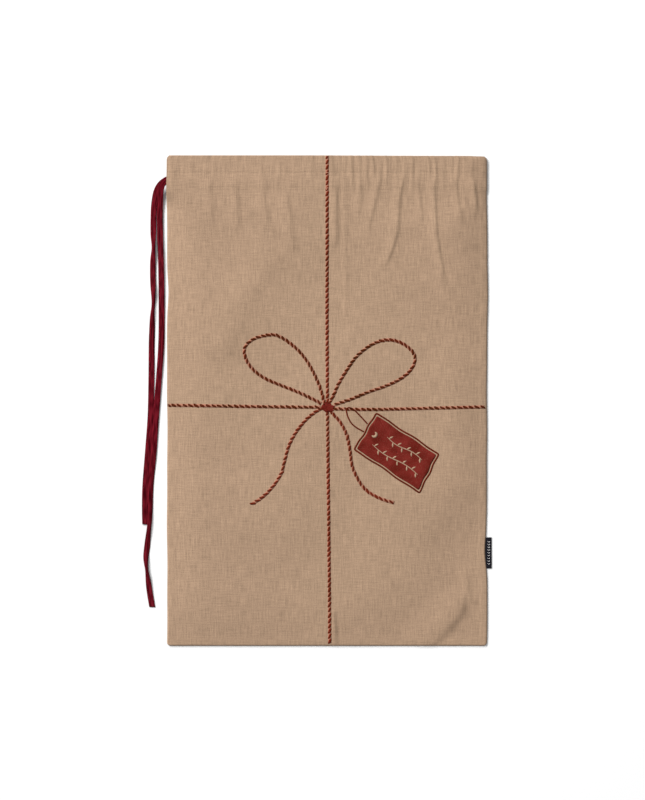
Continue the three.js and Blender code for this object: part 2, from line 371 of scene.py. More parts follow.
def velvet_material():
    """Velvet ribbon: lighter streaks along its length, partly the pile's own colour and partly
    painted highlight, and a tinted sheen.
    """
    velvet = Surface("velvet_ribbon", "flat")
    pile = velvet.noise((0.0004, 0.0004, 1), 3.0)
    # partly painted highlight: lighter streaks at random places along the ribbon
    pile_and_highlight_streaks = velvet.noise((0.0022, 0.024, 1), 2.0, 2.0)
    tone = velvet.scaled(pile_and_highlight_streaks, 3.2, -1.15, clamp=True)
    base = velvet.mixed(tone, VELVET_DARK, VELVET_PILE_AND_HIGHLIGHT)
    colour = velvet.brightened(base, velvet.scaled(pile, 0.5, 0.75))
    velvet.set_look(colour, roughness=0.6, specular=0.01, sheen=0.20, sheen_roughness=0.35)
    velvet.shader.inputs["Sheen Tint"].default_value = (0.80, 0.06, 0.14, 1)
    velvet.set_relief(pile, 0.00025, 0.8)
    return velvet.material


def thread_material(name, colour):
    """Twisted sewing thread: fine ridges slanting round each stitch."""
    thread = Surface(name, "object")
    ply = thread.noise((0.0009, 0.00018, 0.00018), 2.0)
    varied = thread.brightened(colour, thread.scaled(ply, 0.7, 0.65))
    thread.set_look(varied, roughness=0.75, specular=0.12, sheen=0.05)
    thread.set_relief(ply, 0.00008, 0.8)
    return thread.material


LABEL_BLACK = (0.0062, 0.0058, 0.0095)
RIB_PITCH = 0.0005


def label_material():
    """Dense satin-woven label: fine ribs across it."""
    label = Surface("woven_label", "object")
    turns = label.math("MULTIPLY", label.split_place()[1], 2 * math.pi / RIB_PITCH)
    ribs = label.math("SINE", turns)
    yarn = label.noise((0.003, 0.0005, 0.003), 2.0)
    colour = label.brightened(LABEL_BLACK, label.scaled(yarn, 0.9, 0.55))
    label.set_look(colour, roughness=0.7, specular=0.10, sheen=0.02)
    label.set_relief(label.math("ADD", ribs, yarn), 0.00006, 0.7)
    return label.material


linen = linen_material()
bow_ink = ink_material("bow_ink", (0.049, 0.0098, 0.0016), (0.078, 0.0110, 0.0030), 0.05)
twine_ink = ink_material("twine_ink", (0.076, 0.0110, 0.0034), (0.104, 0.0125, 0.0044), 0.05)
tag_ink = ink_material("tag_ink", (0.086, 0.0080, 0.0050), (0.145, 0.0165, 0.0125), 0.022)
line_ink = ink_material("line_ink", (0.066, 0.0080, 0.0022), (0.094, 0.0100, 0.0034), 0.03)
wash_ink = ink_material("wash_ink", (0.270, 0.130, 0.083), (0.300, 0.125, 0.083), 0.05)
velvet = velvet_material()
sewing_thread = thread_material("sewing_thread", (0.39, 0.27, 0.182))
label_cloth = label_material()
label_thread = thread_material("label_thread", (0.75, 0.73, 0.70))


# ---- ribbon
# Each tail's route is points of (across, up the sack, height). Its rolls, in degrees, and its
# cupping, in millimetres, are tables of (place up the sack, value).
SHORT_TAIL_ROUTE = [
    (-241, 347, 1.6), (-250.3, 346, 1.6), (-256.7, 343, 1.6), (-262.5, 337, 1.5),
    (-266.9, 328, 1.4), (-269.6, 315, 1.3), (-271.2, 298, 1.2), (-272, 260.5, 1.2),
    (-272.5, 204, 1.2), (-272, 148, 1.0), (-274.2, 92, 0.8), (-274.8, 35.5, 0.6), (-276, -21, 0.6),
    (-280, -77, 0.6), (-284.2, -133, 0.6), (-284.8, -170, 0.6), (-284.4, -192.6, 0.6),
]
SHORT_TAIL_ROLL = [
    (345, 0), (290, 4), (262, 10), (243, 40), (218, 6), (185, 4), (165, 24), (148, 0), (131, -24),
    (110, -6), (60, 3), (-192.6, -4),
]
SHORT_TAIL_CUP = [
    (345, -0.3), (262, -0.8), (240, -2.6), (215, -0.7), (178, -1.2), (148, -3.4), (118, -1.2),
    (90, -0.5), (20, -0.3), (-60, -0.6), (-140, -0.3), (-192.6, -0.7),
]

LONG_TAIL_ROUTE = [
    (-241, 347, 11.4), (-250.3, 345.2, 11.2), (-254.8, 341.8, 9.6), (-258, 335.6, 7.4),
    (-259.8, 326.5, 5.4), (-260.7, 314, 4.0), (-261.2, 298, 3.1), (-261.2, 279, 2.6),
    (-260.8, 252, 2.3), (-259.4, 204, 2.1), (-258.6, 148, 1.9), (-259.2, 92, 1.7),
    (-263, 35.5, 1.7), (-267.2, -21, 1.9), (-270.9, -77, 1.9), (-275.6, -133, 1.9),
    (-276.6, -186, 1.9), (-280.6, -222, 1.2), (-283.6, -246, 0.6), (-282.8, -264.5, 0.6),
    (-279.7, -283, 0.6), (-276.9, -302, 0.6), (-273.4, -322, 0.6),
]
LONG_TAIL_ROLL = [
    (345, 0), (290, -6), (220, 10), (120, -8), (60, 6), (-60, -4), (-170, -10), (-200, -22),
    (-228, -8), (-246, 8), (-264.5, 26), (-284, 8), (-302, 4), (-322, 0),
]
LONG_TAIL_CUP = [
    (345, -0.2), (220, -0.5), (120, -0.3), (30, -0.5), (-90, -0.4), (-200, -2.5), (-232, -0.4),
    (-264.5, -3.5), (-290, -0.6), (-322, -0.4),
]
CUP_NARROWING = 0.045  # share of its width that the ribbon loses for each squared mm of cupping
SKEW_LENGTH = 12
CLEAR_OF_FLOOR = 0.45  # the ribbon's middle, above its lowest edge

SECTION_ACROSS = np.array([-1, -0.97, -0.8, -0.4, 0, 0.4, 0.8, 0.97, 1.0]) * RIBBON_WIDTH / 2
SECTION_HEIGHT = np.array([0, 0.8, 1, 1, 1, 1, 1, 0.8, 0]) * RIBBON_THICKNESS / 2


def lay_ribbon(node, centres, wide, thin, cupping=0.0, skew_end=0.0, inside_out=False):
    """A flat ribbon along its centre points, with its width along wide and its face towards
    thin. cupping lifts its edges, and skew_end slants the cut at its far end. Where the ribbon
    is cupped it is also narrower, because its own width doesn't change."""
    across = np.concatenate([SECTION_ACROSS, SECTION_ACROSS[-2:0:-1]])
    height = np.concatenate([SECTION_HEIGHT, -SECTION_HEIGHT[-2:0:-1]])
    walked = walked_along(centres)[:, None]
    cup = np.broadcast_to(cupping, len(centres))[:, None]
    sideways = across * (1 - CUP_NARROWING * cup**2)
    lifted = height + cup * (across / (RIBBON_WIDTH / 2)) ** 2
    ahead = skew_end * smooth((walked - walked[-1] + SKEW_LENGTH) / SKEW_LENGTH) * across
    points = centres[:, None] + sideways[..., None] * wide[:, None]
    points = points + lifted[..., None] * thin[:, None]
    points = points + ahead[..., None] * directions_along(centres)[:, None]
    places = np.stack(np.broadcast_arrays(across, walked), axis=2)
    faces = tube_faces(len(centres), len(across), inside_out=inside_out)
    piece = new_mesh(node + "_ribbon", points.reshape(-1, 3), faces, places.reshape(-1, 2))
    piece.data.materials.append(velvet)
    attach(piece, "drawstring")
    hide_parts(node)
    return piece


def read_table(table, y):
    """Values of a table of (place up the sack, value), eased between its entries."""
    heights, values = np.array(sorted(table)).T
    value = np.interp(y, heights, values)
    kernel = bell(np.arange(-8, 9), 5.0)
    padded = np.concatenate([np.full(8, value[0]), value, np.full(8, value[-1])])
    return np.convolve(padded, kernel / kernel.sum(), mode="valid")


def tail(name, route, roll_table, cup_table, skew_end):
    """One loose end of the ribbon, which lies on the floor beside the sack."""
    centres = catmull_rom(route, 2.0)
    roll = read_table(roll_table, centres[:, 1])
    cupping = read_table(cup_table, centres[:, 1])
    turned = np.radians(roll)
    reach = RIBBON_WIDTH / 2 * (1 - CUP_NARROWING * cupping**2)
    lowest = reach * np.abs(np.sin(turned)) + np.maximum(0, -cupping * np.cos(turned))
    centres[:, 2] = np.maximum(centres[:, 2], lowest + CLEAR_OF_FLOOR)

    ahead = directions_along(centres)
    ahead[0] = (-1, 0, 0)
    across = np.cross([0, 0, 1.0], ahead)
    across /= np.linalg.norm(across, axis=1, keepdims=True)
    up = np.cross(ahead, across)
    sine = np.sin(turned)[:, None]
    cosine = np.cos(turned)[:, None]
    wide = across * cosine + up * sine
    thin = up * cosine - across * sine
    piece = lay_ribbon(name, centres, wide, thin, cupping, skew_end)


tail("drawstring_short_tail", SHORT_TAIL_ROUTE, SHORT_TAIL_ROLL, SHORT_TAIL_CUP, 0.05)
tail("drawstring_long_tail", LONG_TAIL_ROUTE, LONG_TAIL_ROLL, LONG_TAIL_CUP, 0.22)


def mouth_lean(x):
    """How much lower the front of the mouth lies towards the right, where the ribbon turns."""
    return 4.2 * smooth((x + 60) / 270)


def casing_run():
    """The ribbon inside the casings: along the front channel, round, and back at the rear."""
    low = RUN_LOW[2] + RIBBON_THICKNESS / 2
    top = RUN_HIGH[2] - RIBBON_THICKNESS / 2
    turn = RUN_HIGH[0] - 5
    high = top - mouth_lean(turn)
    radius = (high - low) / 2
    straight = np.arange(RUN_LOW[0] + 9.5, turn, 4.0)
    angle = np.linspace(math.pi / 2, -math.pi / 2, 15)
    front = np.column_stack([straight, top - mouth_lean(straight)])
    round_turn = [turn + radius * np.cos(angle), (high + low) / 2 + radius * np.sin(angle)]
    rear = np.column_stack([straight[::-1], np.full(len(straight), low)])
    line = np.vstack([front, np.column_stack(round_turn), rear])

    tangent = directions_along(line)
    centres = np.insert(line, 1, RIBBON_Y, axis=1)
    wide = np.tile([0, 1.0, 0], (len(line), 1))
    thin = np.column_stack([-tangent[:, 1], np.zeros(len(line)), tangent[:, 0]])
    lay_ribbon("drawstring_casing_run", centres, wide, thin, inside_out=True)


casing_run()


# ---- the cloth's shape
random = np.random.default_rng(7)

# The mouth is drawn up a little on its ribbon, so small puckers run down from its edge.
PUCKER_SPACING = 8.6


def pucker_table():
    """Each pucker's place along the mouth, depth, reach downwards, lean and width. They are
    stronger and closer together on the right half."""
    rows = []
    x = -HALF_WIDTH + 6
    while x < HALF_WIDTH - 4:
        strong = smooth((x + 30) / 40)
        depth = (0.40 + 0.30 * strong) * random.uniform(0.2, 1.5)
        reach = random.uniform(26, 52) + 10 * strong
        lean = random.normal(0, 0.05)
        rows.append((x, depth, reach, lean, random.uniform(1.5, 2.4)))
        x += (PUCKER_SPACING + 2.6 * (1 - strong)) * random.uniform(0.6, 1.5)
    return rows


PUCKERS = pucker_table()

# Longer folds, and creases at the bottom: (points from the top down, height, half-width on the
# left, half-width on the right). Most are steeper on their right.
FOLDS = [
    ([(119, 352), (113, 318), (109, 264), (101, 238), (91, 214)], 1.45, 9.0, 2.6),
    ([(167, 350), (168, 306), (170, 256), (176, 222), (182, 186)], 1.45, 9.0, 2.6),
    ([(13, 345), (13, 300), (13.5, 246)], 1.7, 10.0, 4.2),
    ([(27, 350), (27.5, 250), (28, 140)], 0.55, 3.4, 5.0),
    ([(-64, 326), (-60, 290), (-53, 240)], 1.4, 12.0, 5.0),
    ([(-242, 372), (-241, 350), (-240, 332)], 0.9, 3.0, 5.0),
    ([(200, 352), (203, 320), (209, 282)], 0.9, 6.0, 2.4),
    ([(229, 346), (231, 322), (233, 296)], 1.7, 5.0, 3.0),
    ([(54, 350), (52, 318), (48, 292)], 0.8, 7.0, 3.0),
    ([(82, 350), (76, 318), (64, 270)], 1.1, 8.0, 3.2),
    ([(142, 354), (144, 320), (147, 284)], 0.8, 6.0, 2.6),
    ([(-143, 345), (-142, 318), (-139, 272)], 1.3, 10.0, 4.4),
    ([(-184, 345), (-183, 320), (-178, 276)], 1.0, 10.0, 4.4),
    ([(-100, 352), (-99, 318), (-94, 276)], 1.0, 10.0, 4.4),
    ([(-84, 236), (-122, 178), (-170, 74)], 1.9, 32.0, 25.0),
    ([(213, -306), (207, -328), (188, -352), (150, -392)], 6.6, 32.0, 8.5),
    ([(214, -266), (220, -296), (228, -328)], 1.5, 7.0, 4.5),
    ([(10, -330), (12, -356), (14, -388)], 2.4, 6.0, 3.2),
]
FOLD_FADE = 16.0


def seeded_waves(count, shortest, longest):
    """Directions, lengths and phases of the gentle waves that keep cloth from lying flat."""
    made = []
    for _ in range(count):
        angle = random.uniform(0, math.pi)
        length = random.uniform(shortest, longest)
        made.append((math.cos(angle) / length, math.sin(angle) / length, random.uniform(0, 1)))
    return made


BROAD_WAVES = seeded_waves(9, 120, 320)
SMALL_WAVES = seeded_waves(16, 34, 80)
REAR_WAVES = seeded_waves(10, 50, 160)


def waves(x, y, table):
    total = np.zeros_like(x)
    for a, b, phase in table:
        total = total + np.sin(2 * math.pi * (a * x + b * y + phase))
    return total / math.sqrt(len(table))


def distance_to_line(x, y, points):
    """Distance from a place to a line through points, whether it is to the line's right, how
    far along the line it is, and the line's length."""
    best = np.full(x.shape, 1e9)
    along = np.zeros(x.shape)
    to_right = np.zeros(x.shape, dtype=bool)
    walked = 0.0
    for (ax, ay), (bx, by) in zip(points, points[1:]):
        length = math.hypot(bx - ax, by - ay)
        t = ((x - ax) * (bx - ax) + (y - ay) * (by - ay)) / length**2
        held = np.clip(t, 0, 1)
        gap = np.hypot(x - ax - held * (bx - ax), y - ay - held * (by - ay))
        nearer = gap < best
        turned = (bx - ax) * (y - ay) - (by - ay) * (x - ax)
        to_right = np.where(nearer, turned > 0, to_right)
        along = np.where(nearer, walked + t * length, along)
        best = np.where(nearer, gap, best)
        walked += length
    return best, to_right, along, walked


def puckers(x, y):
    """How much the puckers raise the cloth; each is wider on its left."""
    down = HALF_LENGTH - y
    total = np.zeros_like(x)
    for place, depth, reach, lean, width in PUCKERS:
        fade = 1 - smooth((down - reach * 0.55) / (reach * 0.75))
        across = x - place - lean * down
        total += depth * bell(across, width * np.where(across < 0, 1.9, 1.0)) * fade
    return total


def folds(x, y):
    """How much the longer folds raise the cloth."""
    total = np.zeros_like(x)
    for points, height, left_width, right_width in FOLDS:
        gap, to_right, along, length = distance_to_line(x, y, points)
        begin = smooth((along + FOLD_FADE) / (2 * FOLD_FADE))
        end = smooth((length - along + FOLD_FADE) / (2 * FOLD_FADE))
        total += height * bell(gap, np.where(to_right, right_width, left_width)) * begin * end
    return total


def rise(distance, roll):
    """From 0 at a seam to 1 where the cloth has risen to its full height."""
    return np.sin(math.pi / 2 * np.clip(distance / roll, 0, 1))


def from_seam(x, y):
    """Distance to the nearest sewn edge: the left, the right or the bottom one."""
    return np.minimum(HALF_WIDTH - np.abs(x), HALF_LENGTH + y)


def at_vent(x, y):
    """1 at the left near the mouth, where the side is left open for the ribbon."""
    return smooth((y - 300) / 30) * (x < 0)


# What lowers and what lifts the front cloth, in millimetres.
SINK = 4.6  # an empty sack's front, below the mouth
FOOT_SINK = 1.8  # more of the same towards the bottom
SLACK_SINK = 1.8  # the loose corner at the bottom right
ALLOWANCE_RISE = 0.34
HEM_RISE = 0.22
RIBBON_RISE = 0.16
STITCH_SINK = 0.20
STITCH_REACH = 1.3
SEAM_PUCKER = 0.10


def front_height(x, y):
    """Height of the front cloth's outer face over a place on the flat panel."""
    body = 1 - smooth((y - 262) / 58)
    slack = smooth((x - 10) / 190) * smooth((-120 - y) / 170)
    vent = at_vent(x, y)

    # The cloth rises from its three seams to a plateau, and not at the vent.
    side_roll = 29 + 34 * body + 5 * (x > 0) + 70 * slack
    sewn = rise(HALF_WIDTH + x, side_roll)
    left = sewn + (1 - sewn) * vent
    right = rise(HALF_WIDTH - x, side_roll)
    bottom = rise(HALF_LENGTH + y, 84 + 34 * slack)
    lift = left * right * bottom
    sinking = SINK * smooth((338 - y) / 200) + FOOT_SINK * smooth((-130 - y) / 250)
    leaning = SLACK_SINK * slack + mouth_lean(x) * (1 - body)
    plateau = PLATEAU_Z - sinking - leaning
    seam_top = SEAM_Z + 1.2 * smooth(from_seam(x, y) / 1.9) * (1 - vent)
    seam_top = seam_top + 1.2 * smooth((y - CASING_BOTTOM + 5) / 6) * (x > 0)
    base = seam_top + (plateau - seam_top) * lift

    # Waves, folds and puckers die out towards the seams.
    loose = np.sqrt(np.clip(lift, 0, 1))
    calm = 0.35 + 0.65 * body
    broad = (0.42 + 0.6 * smooth((290 - y) / 110)) * body
    shape = waves(x, y, BROAD_WAVES) * broad + waves(x, y, SMALL_WAVES) * 0.12 * calm

    # What lies under the cloth shows through it, and each row of stitches draws it in.
    allowance_x = smooth((np.abs(x) - HALF_WIDTH + 12.5) / 2.4) * (1 - 0.75 * vent)
    allowance_y = smooth((-y - HALF_LENGTH + 13.5) / 2.4)
    allowance = ALLOWANCE_RISE * np.maximum(allowance_x, allowance_y)
    hem = HEM_RISE * smooth((y - CASING_BOTTOM) / 1.6)
    channel = RIBBON_RISE * bell(y - RIBBON_Y, 5.2)
    rows = -STITCH_SINK * (bell(y - HEADING_Y, STITCH_REACH) + bell(y - CHANNEL_Y, STITCH_REACH))
    ripple = SEAM_PUCKER * np.sin(2 * math.pi * y / 17 + 2 * np.sin(y / 43))
    seam_pucker = ripple * bell(HALF_WIDTH - np.abs(x) - 6, 12)
    total = base + loose * (shape + folds(x, y) + puckers(x, y)) + allowance + hem + channel + rows
    return np.maximum(total + seam_pucker, seam_top + allowance)


CORNER = 5.5


def outline_x(x, y):
    """Where a flat place x comes to lie at a height y: the sack's sides are not quite straight,
    its corners are a little round, and the seam draws in where the label is sewn into it."""
    into = np.clip(np.abs(y) - (HALF_LENGTH - CORNER), 0, CORNER)
    corner = CORNER - np.sqrt(CORNER**2 - into**2)
    ripple = 0.30 * np.sin(y / 37) + 0.22 * np.sin(y / 16.5 + 1)
    left = -corner + ripple - 1.5 * bell(y - 172, 24)
    right = -corner - ripple + 1.3 * bell(y - 180, 130) + 0.9 * bell(y + 300, 90)
    right = right - 0.7 * bell(y - 380, 40) - 3.2 * bell(y + 237, 30)
    return x + np.where(x < 0, -left, right) * np.abs(x) / HALF_WIDTH


EDGE_LINES = np.array([0, 0.35, 0.8, 1.4, 2.2, 3.2, 4.6, 6.4, 8.6])
TOP_LINES = HALF_LENGTH - np.array([1.2, 0.5])


def lines_across(*steps):
    """Grid lines across a panel, close together at both edges. Each step is (up to, spacing)."""
    inner = []
    last = HALF_WIDTH - EDGE_LINES[-1]
    at = -last
    for end, spacing in steps:
        inner.append(np.arange(at + spacing, min(end, last) - 0.4 * spacing, spacing))
        at = inner[-1][-1]
    return np.concatenate([-HALF_WIDTH + EDGE_LINES, *inner, HALF_WIDTH - EDGE_LINES[::-1]])


def lines_up(body_step, mouth_step):
    """Grid lines up a panel, close together at the bottom seam and at each row of stitches."""
    rows = [-HALF_LENGTH + EDGE_LINES, np.arange(-HALF_LENGTH + 13, 200, body_step)]
    rows.append(np.arange(203, HALF_LENGTH - 2, mouth_step))
    for row in (HEADING_Y, CHANNEL_Y, CASING_BOTTOM):
        rows.append(row + np.array([-2.4, -1.6, -0.8, 0, 0.8, 1.6, 2.4]))
    rows = np.unique(np.concatenate(rows + [TOP_LINES]))
    apart = np.concatenate([[True], np.diff(rows) > 0.3])
    return rows[apart]


COLUMNS = lines_across((-20, 2.6), (HALF_WIDTH, 1.75))
ROWS = lines_up(6.6, 3.6)


def edge_rounding(x, y):
    """The last millimetre of cloth turns down into the seam."""
    return -0.55 * (1 - smooth(from_seam(x, y) / 1.2)) * (1 - at_vent(x, y))


def fold_and_casing(panel, columns, rows, side, radius, casing_height):
    """The panel, its round fold at the mouth, and its casing, as places and as flat places.
    The fold turns down when side is 1, and up when it is -1."""
    rings = []
    lengths = []
    for angle in np.linspace(math.pi / 2, -math.pi / 2, 9)[1:]:
        ring = panel[-1].copy()
        ring[:, 1] += radius * math.cos(angle)
        ring[:, 2] += side * radius * (math.sin(angle) - 1)
        rings.append(ring)
        lengths.append(HALF_LENGTH + 2 - angle)
    for back in [*np.arange(2.5, CASING_DEPTH - 1, 2.5), CASING_DEPTH - 0.5]:
        y = np.full(len(columns), HALF_LENGTH - 0.5 - back)
        rings.append(np.column_stack([outline_x(columns, y), y, casing_height(columns, y)]))
        lengths.append(HALF_LENGTH + 3.5 + back)
    y, x = np.meshgrid([*rows, *lengths], columns, indexing="ij")
    return np.concatenate([panel, np.array(rings)]), np.stack([x, y], axis=2)


FRONT_FOLD = 2.35  # height of the mouth's fold where the cloth is highest
LOWEST_FOLD = 1.15


def front_surface():
    """The front panel, its fold at the mouth, and the casing that it makes inside."""
    y, x = np.meshgrid(ROWS, COLUMNS, indexing="ij")
    z = front_height(x, y) + edge_rounding(x, y)
    panel = np.stack([outline_x(x, y), y, z], axis=2)
    share = np.clip((panel[-1, :, 2] - SEAM_Z) / (PLATEAU_Z - SEAM_Z), 0.12, 1)
    turn = np.maximum(FRONT_FOLD * share, LOWEST_FOLD)

    def casing_height(x, y):
        return front_height(x, y) - 0.6 * puckers(x, y) - turn - 0.12

    return fold_and_casing(panel, COLUMNS, ROWS, 1, turn / 2, casing_height)


front_outer, front_flat = front_surface()
front_cloth = thick_sheet("front_cloth", front_outer, front_flat, CLOTH)


def rear_height(x, y):
    """Height of the rear cloth's lower face, which mostly rests on the floor."""
    ripple = np.clip(waves(x, y, REAR_WAVES), 0, 3) * 0.10
    rows = 0.34 * (bell(y - HEADING_Y, STITCH_REACH) + bell(y - CHANNEL_Y, STITCH_REACH))
    turn = 0.30 * (1 - smooth(from_seam(x, y) / 2.4)) * (1 - at_vent(x, y))
    return 0.02 + ripple + rows + turn


def rear_surface():
    """The rear panel, its fold at the mouth, and the casing that it makes inside."""
    columns = lines_across((HALF_WIDTH, 5.0))
    rows = lines_up(8.0, 4.0)
    y, x = np.meshgrid(rows, columns, indexing="ij")
    panel = np.stack([outline_x(x, y), y, rear_height(x, y)], axis=2)
    casing = 1.25 + 1.4 * smooth((HALF_WIDTH - columns) / 16)
    radius = (casing - panel[-1, :, 2]) / 2
    return fold_and_casing(panel, columns, rows, -1, radius, lambda x, y: casing)


rear_outer, rear_flat = rear_surface()
rear_cloth = thick_sheet("rear_cloth", rear_outer, rear_flat, CLOTH, inside_out=True)


def follows_mouth(piece):
    """Bake the piece's placement into its points."""
    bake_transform(piece)


def finish_cloth(piece, material, slot, *nodes):
    """Give a piece of cloth, print or thread its material, bake its placement, and hide the CAD
    nodes that it stands for. The slot argument is not used."""
    piece.data.materials.append(material)
    follows_mouth(piece)
    if nodes:
        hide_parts(*nodes)


finish_cloth(front_cloth, linen, "linen", "front_panel", "front_casing")
finish_cloth(rear_cloth, linen, "linen", "back_panel", "back_casing")


# ---- places on the front cloth
def front_place(x, y, proud=0.0):
    """The point on the made cloth over flat place (x, y), standing proud of it."""
    j = np.clip(np.searchsorted(COLUMNS, x) - 1, 0, len(COLUMNS) - 2)
    i = np.clip(np.searchsorted(ROWS, y) - 1, 0, len(ROWS) - 2)
    s = ((x - COLUMNS[j]) / (COLUMNS[j + 1] - COLUMNS[j]))[..., None]
    t = ((y - ROWS[i]) / (ROWS[i + 1] - ROWS[i]))[..., None]
    low = front_outer[i, j] * (1 - s) + front_outer[i, j + 1] * s
    high = front_outer[i + 1, j] * (1 - s) + front_outer[i + 1, j + 1] * s
    place = low * (1 - t) + high * t
    place[..., 2] += proud
    return place


PRINT_DEPTH = 0.10
PRINT_MARGIN = 0.4  # bare cloth between the print and the panel's edges
WASH_PROUD = 0.13  # the pale wash round the strands
PRINT_PROUD = 0.20
MARKS_PROUD = 0.30  # what shows over the tag's ink
PRINT_RISE = 0.8  # the whole print sits this much towards the mouth


class Print:
    """Collects flat printed shapes, then lays them on the front cloth as one thin mesh."""

    def __init__(self, name, material, proud=PRINT_PROUD):
        self.name = name
        self.material = material
        self.proud = proud
        self.points = []
        self.faces = []
        self.flat = []
        self.count = 0

    def add_strip(self, left, right):
        """A shape between two lines of equally many points, both closed at their ends."""
        self.add_grid(np.stack([left, (left + right) / 2, right], axis=1))

    def add_grid(self, grid):
        """A shape given as rows and columns of flat places."""
        x_limit = HALF_WIDTH - PRINT_MARGIN
        y_limit = HALF_LENGTH - PRINT_MARGIN
        x = np.clip(grid[..., 0].ravel(), -x_limit, x_limit)
        y = np.clip(grid[..., 1].ravel() + PRINT_RISE, -y_limit, y_limit - 0.2)
        self.points.append(front_place(x, y, self.proud))
        self.points.append(front_place(x, y, self.proud - PRINT_DEPTH))
        self.flat += [np.column_stack([x, y])] * 2
        self.faces += sheet_faces(*grid.shape[:2], base=self.count)
        self.count += 2 * len(x)

    def make(self):
        piece = new_mesh(self.name, np.vstack(self.points), self.faces, np.vstack(self.flat))
        finish_cloth(piece, self.material, "print_ink")


# ---- printed twine
DASH_LENGTH = 9.4
DASH_WIDTH = 3.5
DASH_SLANT = math.radians(-33)
WASH_WIDTH = 5.2


def along_path(path, distance, side):
    """The place at a distance along a path of evenly spaced points, and off to its left."""
    step = np.linalg.norm(path[1] - path[0])
    tangent = directions_along(path)
    index = distance / step
    grid = np.arange(len(path))
    place = np.column_stack([np.interp(index, grid, path[:, k]) for k in range(2)])
    lead = np.column_stack([np.interp(index, grid, tangent[:, k]) for k in range(2)])
    beyond = np.where(index > len(path) - 1, index - (len(path) - 1), np.minimum(index, 0))
    place = place + lead * (beyond * step)[:, None]
    left = np.column_stack([-lead[:, 1], lead[:, 0]])
    return place + left * side[:, None]


def add_dash(sheet, path, middle, length, width, slant):
    """One strand of the twine, which slants across it and bends slightly."""
    t = np.linspace(-1, 1, 9)
    along = t * length / 2
    body = width / 2 * np.sqrt(np.clip(1 - np.abs(t) ** 2.6, 0, 1)) + 0.12
    bend = 0.35 * np.sin(math.pi * t)
    sides = []
    for sign in (1, -1):
        off = bend + sign * body
        forward = along * math.cos(slant) - off * math.sin(slant)
        sideways = along * math.sin(slant) + off * math.cos(slant)
        sides.append(along_path(path, middle + forward, sideways))
    sheet.add_strip(sides[1], sides[0])


def add_stroke(sheet, line, width, taper=0.0):
    """A drawn line of so many millimetres' width, which taper makes narrower at its ends."""
    tangent = directions_along(line)
    left = np.column_stack([-tangent[:, 1], tangent[:, 0]])
    share = np.linspace(0, 1, len(line))
    half = width / 2 * (1 - taper * np.abs(2 * share - 1) ** 3)
    sheet.add_strip(line - left * half[:, None], line + left * half[:, None])


def twine(name, ink, pitch, routes):
    """A row of slanting strands along each route, over a pale wash. A route is its points, and
    the gaps left bare at its start and at its end."""
    sheet = Print(name, ink)
    wash = Print(name + "_wash", wash_ink, WASH_PROUD)
    for route, start_gap, end_gap in routes:
        path = catmull_rom(route, 1.0)
        add_stroke(wash, catmull_rom(route, 3.0)[:-1], WASH_WIDTH)
        total = walked_along(path)[-1]
        middle = start_gap
        while middle < total - end_gap:
            length = DASH_LENGTH * random.uniform(0.9, 1.1)
            width = DASH_WIDTH * random.uniform(0.85, 1.12)
            slant = DASH_SLANT + random.normal(0, 0.05)
            add_dash(sheet, path, middle, length, width, slant)
            middle += pitch * random.uniform(0.92, 1.08)
    wash.make()
    sheet.make()


LONG_UPPER = [(0.3, 381), (0.3, 250), (0.2, 120), (0.8, -3)]
LONG_LOWER = [(0.8, -17), (2.0, -120), (3.4, -250), (4.4, -382)]
CROSS_LEFT = [(-249, -7), (-180, -8), (-120, -9), (-60, -9.8), (-7, -10.2)]
CROSS_RIGHT = [(9, -12.6), (60, -13.6), (114, -12.9), (180, -11.2), (249, -9.6)]
LEFT_LOOP = [
    (-3.5, -5), (-5.5, 2), (-12.8, 26), (-28.8, 58), (-48.8, 82.5), (-76.6, 101.4), (-98, 101.4),
    (-117.4, 94.6), (-128.4, 82), (-126.6, 66), (-116.6, 50), (-98.6, 36), (-76.6, 26), (-48.8, 15),
    (-25, 4), (-6, -6),
]
RIGHT_LOOP = [
    (3, -4), (9, 6), (19, 28), (35, 54), (47, 70), (67, 86), (87, 94), (105, 94), (123, 86),
    (136, 72), (136, 58), (127, 44), (111, 32), (89, 22), (63, 13), (39, 3), (8, -7.5),
]
LEFT_TAIL = [
    (-8, -12), (-18, -17.5), (-33, -30), (-49, -50), (-60, -72), (-68, -102), (-71, -113),
    (-83, -132), (-99, -149), (-118, -162),
]
RIGHT_TAIL = [
    (5, -15), (10.5, -22), (21, -34), (31, -54), (36, -78), (40, -104), (53, -130), (67, -144),
    (87, -154), (108, -160),
]

twine("printed_long_twine", twine_ink, 8.2, [(LONG_UPPER, 1, 2), (LONG_LOWER, 2, 0)])
twine("printed_cross_twine", bow_ink, 8.9, [(CROSS_LEFT, 1, 2), (CROSS_RIGHT, 4, 0)])
twine("printed_bow_loops", bow_ink, 8.2, [(LEFT_LOOP, 2, 2), (RIGHT_LOOP, 2, 2)])
twine("printed_bow_tails", twine_ink, 8.2, [(LEFT_TAIL, 2, 0), (RIGHT_TAIL, 2, 2)])


KNOT_CENTRE = (0.5, -10.3)
KNOT_RADIUS = 7.9


def knot_radius(angle):
    """The knot's radius all round: a rough blob with stubs where the strands leave it."""
    turned = np.degrees(angle) % 360
    right = 3.6 * bell(turned - 8, 14) + 3.6 * bell(turned - 368, 14) + 3.8 * bell(turned - 332, 14)
    left = 2.2 * bell(turned - 180, 20) + 1.0 * bell(turned - 128, 14)
    return KNOT_RADIUS + right + left + 0.4 * np.cos(7 * angle)


def printed_knot():
    """The knot in the middle of the bow."""
    sheet = Print("printed_knot", tag_ink)
    angle = np.linspace(0, 2 * math.pi, 73)
    radius = np.linspace(0.004, 1, 6)[:, None] * knot_radius(angle)
    x = KNOT_CENTRE[0] + radius * np.cos(angle)
    y = KNOT_CENTRE[1] + radius * np.sin(angle)
    sheet.add_grid(np.stack([x, y], axis=2)[::-1])
    sheet.make()


printed_knot()

